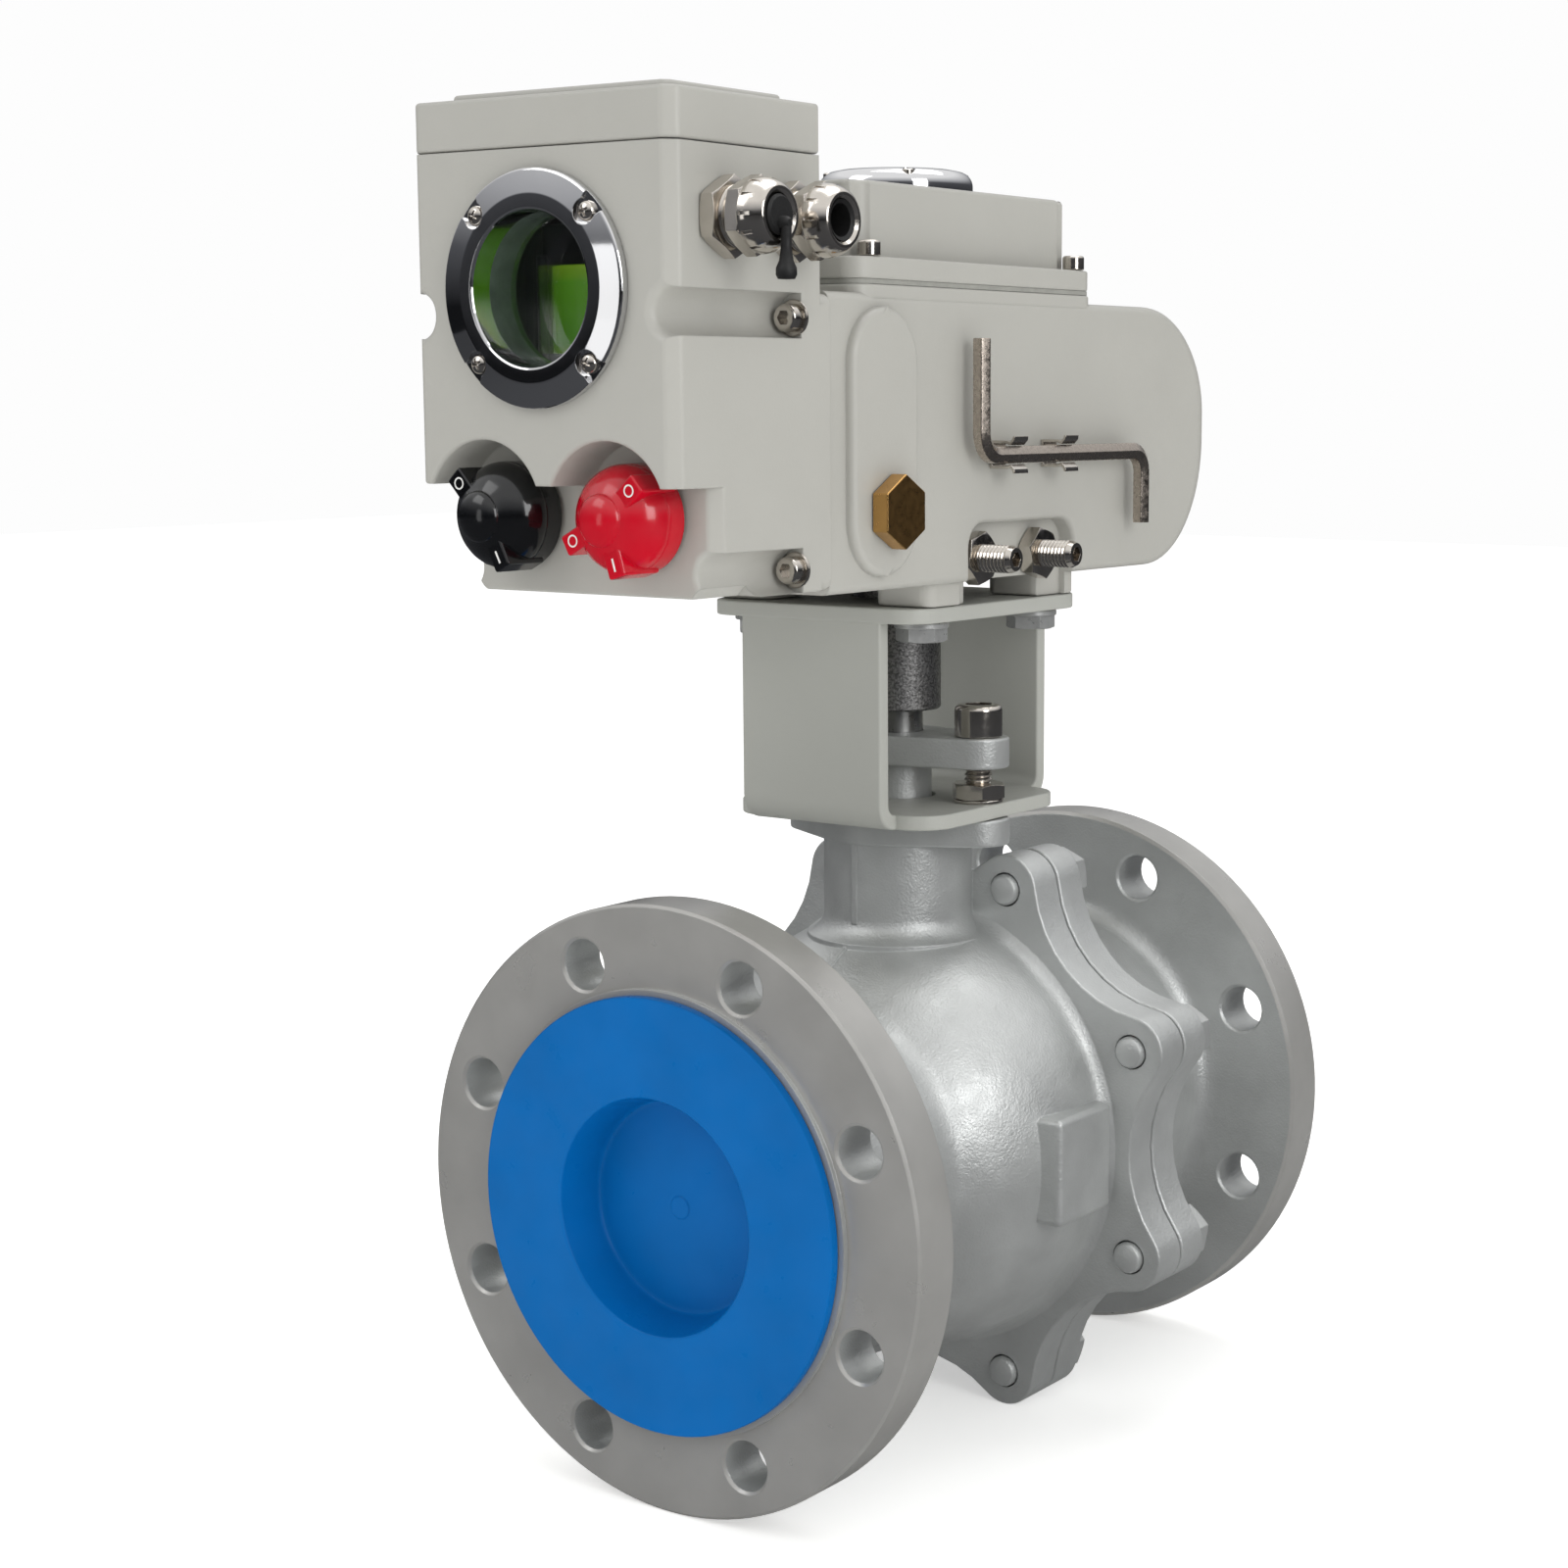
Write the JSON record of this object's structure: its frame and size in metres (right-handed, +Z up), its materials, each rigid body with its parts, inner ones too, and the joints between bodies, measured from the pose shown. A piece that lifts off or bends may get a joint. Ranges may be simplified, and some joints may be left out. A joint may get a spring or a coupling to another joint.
{
  "type": "motorized ball valve",
  "caption": "Flanged DN100 ball valve with a bracket-mounted quarter-turn electric actuator, control box, two knobs and a hand crank.",
  "frame": {"origin": "under the middle of the overall box, on the floor the flange rims stand on", "axes": "+Z up along the stem; Y along the pipe, with the control box and its knobs at -Y; +X on the side with the cable glands and hand crank"},
  "size_m": [0.215, 0.3454, 0.48],
  "materials": {
    "valve_casting": "silver-painted sand casting, satin",
    "grey_enamel": "light grey powder coat, satin",
    "machined_steel": "turned and milled, lightly oiled",
    "nickel_plate": "nickel plated, semi-bright",
    "chrome_plate": "polished",
    "ptfe": "moulded white PTFE",
    "graphite": "pressed graphite",
    "black_gloss": "moulded, glossy",
    "red_gloss": "moulded, glossy",
    "blue_gloss": "moulded, glossy",
    "brass": "turned, lightly tarnished",
    "bronze": "hobbed bronze",
    "clear_window": "clear, polished",
    "black_rubber": "moulded, matte",
    "display_green": "dark green display under clear cover"
  },
  "bodies": {
    "valve": {"valve_body": "valve_casting", "end_adapter": "valve_casting", "body_gasket": "graphite", "seat_front": "ptfe", "seat_rear": "ptfe", "stem_packing": "graphite", "gland_flange": "valve_casting", "gland_screw_left": "nickel_plate", "gland_screw_right": "nickel_plate", "body_stud_1": "valve_casting", "body_stud_2": "valve_casting", "body_stud_3": "valve_casting", "body_stud_4": "valve_casting", "body_stud_5": "valve_casting", "body_stud_6": "valve_casting", "body_stud_7": "valve_casting", "body_stud_8": "valve_casting", "bracket": "grey_enamel", "plate_bolt_1": "nickel_plate", "plate_bolt_2": "nickel_plate", "plate_bolt_3": "nickel_plate", "plate_bolt_4": "nickel_plate", "gear_housing": "grey_enamel", "cover_gasket": "black_rubber", "top_cover": "grey_enamel", "cover_screw_1": "nickel_plate", "cover_screw_2": "nickel_plate", "cover_screw_3": "nickel_plate", "cover_screw_4": "nickel_plate", "indicator_bezel": "chrome_plate", "indicator_lens": "clear_window", "drive_motor": "machined_steel", "crank_clip_1": "nickel_plate", "crank_clip_2": "nickel_plate", "limit_screw_1": "nickel_plate", "limit_screw_2": "nickel_plate", "control_box": "grey_enamel", "control_lid": "grey_enamel", "window_bezel": "chrome_plate", "window_glass": "clear_window", "display_module": "display_green", "cable_gland_1": "nickel_plate", "cable_gland_2": "nickel_plate"},
    "drive_train": {"ball": "chrome_plate", "valve_stem": "machined_steel", "drive_coupling": "machined_steel", "output_shaft": "machined_steel", "worm_wheel": "bronze", "indicator_dial": "red_gloss"},
    "worm": {"worm_shaft": "machined_steel"},
    "idler": {"idler_gear": "machined_steel"},
    "pinion": {"motor_pinion": "machined_steel"},
    "hand_drive": {"manual_shaft": "machined_steel"},
    "black_knob": {"knob_black": "black_gloss"},
    "red_knob": {"knob_red": "red_gloss"},
    "front_cap": {"port_cap_front": "blue_gloss"},
    "rear_cap": {"port_cap_rear": "blue_gloss"},
    "plug": {"brass_plug": "brass"},
    "crank": {"hand_crank": "nickel_plate"},
    "blank": {"gland_plug": "black_rubber"}
  },
  "joints": [
    {"name": "quarter_turn", "type": "hinge", "parent": "valve", "child": "drive_train", "pos_m": [0, 0.02575, 0.1075], "axis": [0, 0, -1], "range_deg": [0, 90]},
    {"name": "worm_spin", "type": "hinge", "parent": "valve", "child": "worm", "pos_m": [-0.0366, 0.02575, 0.3468], "axis": [0, 1, 0], "range_deg": [0, 2700]},
    {"name": "idler_spin", "type": "hinge", "parent": "valve", "child": "idler", "pos_m": [-0.0142, 0.08775, 0.3671], "axis": [0, 1, 0], "range_deg": [-1350, 0]},
    {"name": "pinion_spin", "type": "hinge", "parent": "valve", "child": "pinion", "pos_m": [0.013, 0.08775, 0.3718], "axis": [0, 1, 0], "range_deg": [0, 4050]},
    {"name": "hand_drive_spin", "type": "hinge", "parent": "valve", "child": "hand_drive", "pos_m": [0, -0.05775, 0.3468], "axis": [1, 0, 0], "range_deg": [-2700, 0]},
    {"name": "black_knob_turn", "type": "hinge", "parent": "valve", "child": "black_knob", "pos_m": [-0.0255, -0.14825, 0.347], "axis": [0, 1, 0], "range_deg": [0, 90]},
    {"name": "red_knob_turn", "type": "hinge", "parent": "valve", "child": "red_knob", "pos_m": [0.0255, -0.14825, 0.347], "axis": [0, 1, 0], "range_deg": [-60, 60]},
    {"name": "front_cap_pull", "type": "slide", "parent": "valve", "child": "front_cap", "axis": [0, -1, 0], "range_m": [0, 0.04]},
    {"name": "rear_cap_pull", "type": "slide", "parent": "valve", "child": "rear_cap", "axis": [0, 1, 0], "range_m": [0, 0.04]},
    {"name": "brass_plug_out", "type": "slide", "parent": "valve", "child": "plug", "axis": [1, 0, 0], "range_m": [0, 0.03]},
    {"name": "hand_crank_pull", "type": "slide", "parent": "valve", "child": "crank", "axis": [1, 0, 0], "range_m": [0, 0.03]},
    {"name": "gland_plug_pull", "type": "slide", "parent": "valve", "child": "blank", "axis": [1, 0, 0], "range_m": [0, 0.02]}
  ],
  "couplings": [
    {"joint": "worm_spin", "follows": "quarter_turn", "ratio": 30},
    {"joint": "idler_spin", "follows": "quarter_turn", "ratio": -15},
    {"joint": "pinion_spin", "follows": "quarter_turn", "ratio": 45},
    {"joint": "hand_drive_spin", "follows": "quarter_turn", "ratio": -30}
  ]
}
